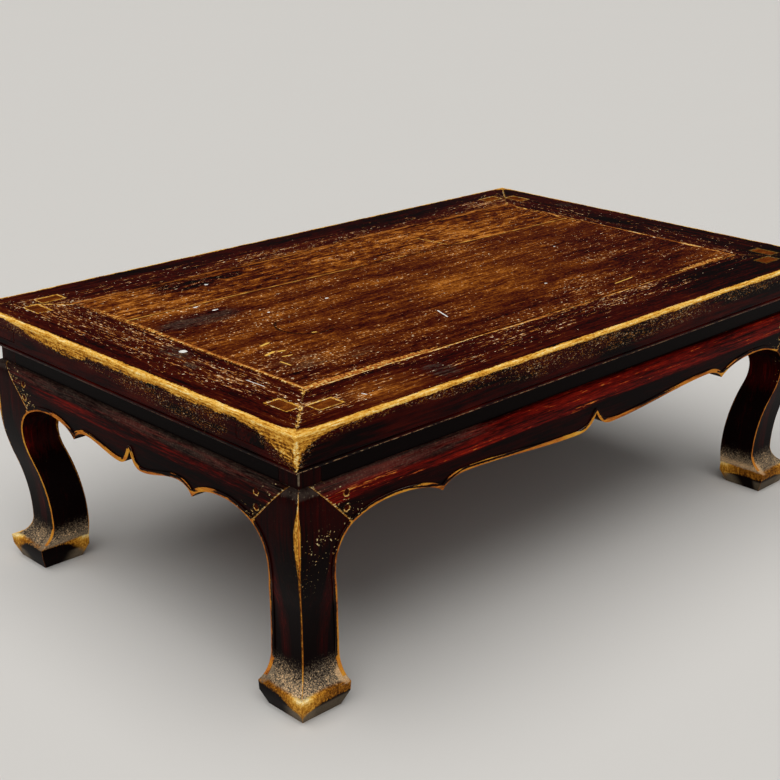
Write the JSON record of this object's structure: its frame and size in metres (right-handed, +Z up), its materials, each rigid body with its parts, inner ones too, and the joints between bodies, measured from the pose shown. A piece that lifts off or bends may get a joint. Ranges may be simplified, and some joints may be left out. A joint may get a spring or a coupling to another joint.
{
  "type": "kang table",
  "caption": "Low rectangular table with a mitred frame and floating panel, a recessed waist, bulging cusped aprons and curved legs on hoof feet.",
  "frame": {"origin": "on the floor under the middle of the table", "axes": "+X along the table's length, +Y across its width towards the back, +Z up"},
  "size_m": [0.86, 0.53, 0.3],
  "materials": {
    "frame_lacquer": "old dark brown lacquer, worn to golden wood at the edges",
    "panel_wood": "worn golden brown wood with remains of dark lacquer",
    "base_lacquer": "old dark red-brown lacquer, satin, rubbed through on ridges",
    "bare_wood": "bare aged wood",
    "peg_wood": "bare dark wood, worn flush"
  },
  "bodies": {
    "root": {"front_rail": "frame_lacquer", "right_rail": "frame_lacquer", "back_rail": "frame_lacquer", "left_rail": "frame_lacquer", "front_panel_board": "panel_wood", "back_panel_board": "panel_wood", "left_batten": "bare_wood", "middle_batten": "bare_wood", "right_batten": "bare_wood", "front_waist": "base_lacquer", "right_waist": "base_lacquer", "back_waist": "base_lacquer", "left_waist": "base_lacquer", "front_apron": "base_lacquer", "right_apron": "base_lacquer", "back_apron": "base_lacquer", "left_apron": "base_lacquer", "front_left_leg": "base_lacquer", "front_right_leg": "base_lacquer", "back_left_leg": "base_lacquer", "back_right_leg": "base_lacquer", "apron_pegs": "peg_wood"}
  },
  "joints": []
}
